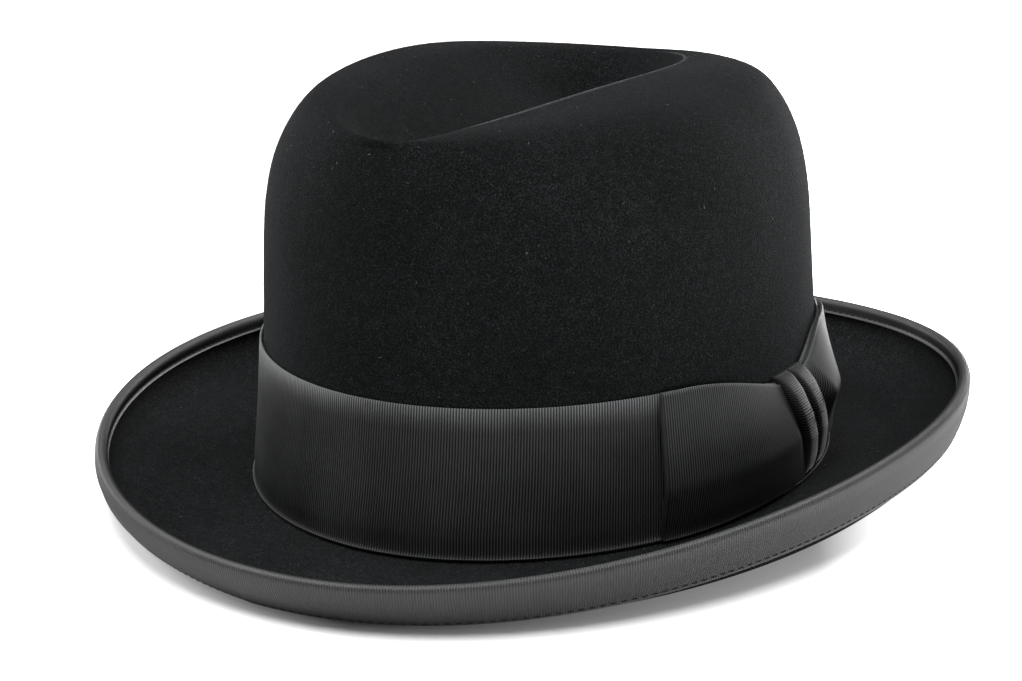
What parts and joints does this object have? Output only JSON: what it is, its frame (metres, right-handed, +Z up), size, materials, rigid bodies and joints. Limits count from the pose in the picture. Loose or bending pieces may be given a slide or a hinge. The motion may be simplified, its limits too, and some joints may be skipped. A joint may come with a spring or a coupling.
{
  "type": "homburg hat",
  "caption": "Stiff black felt homburg with a curled, ribbon-bound brim, a dented crown and a ribbed hat band with a flat side bow.",
  "frame": {"origin": "middle of the underside of the hat's box, on the plane the brim rests on", "axes": "+Z up through the crown, -Y towards the front of the hat, +X towards the wearer's left, where the bow is"},
  "size_m": [0.27, 0.3166, 0.1251],
  "materials": {
    "felt": "velour nap",
    "ribbon": "ribbed, low sheen"
  },
  "bodies": {
    "root": {"felt_body": "felt", "hat_band": "ribbon", "brim_binding": "ribbon", "bow_front_loop": "ribbon", "bow_back_loop": "ribbon", "knot_wrap_front": "ribbon", "knot_wrap_back": "ribbon"}
  },
  "joints": []
}
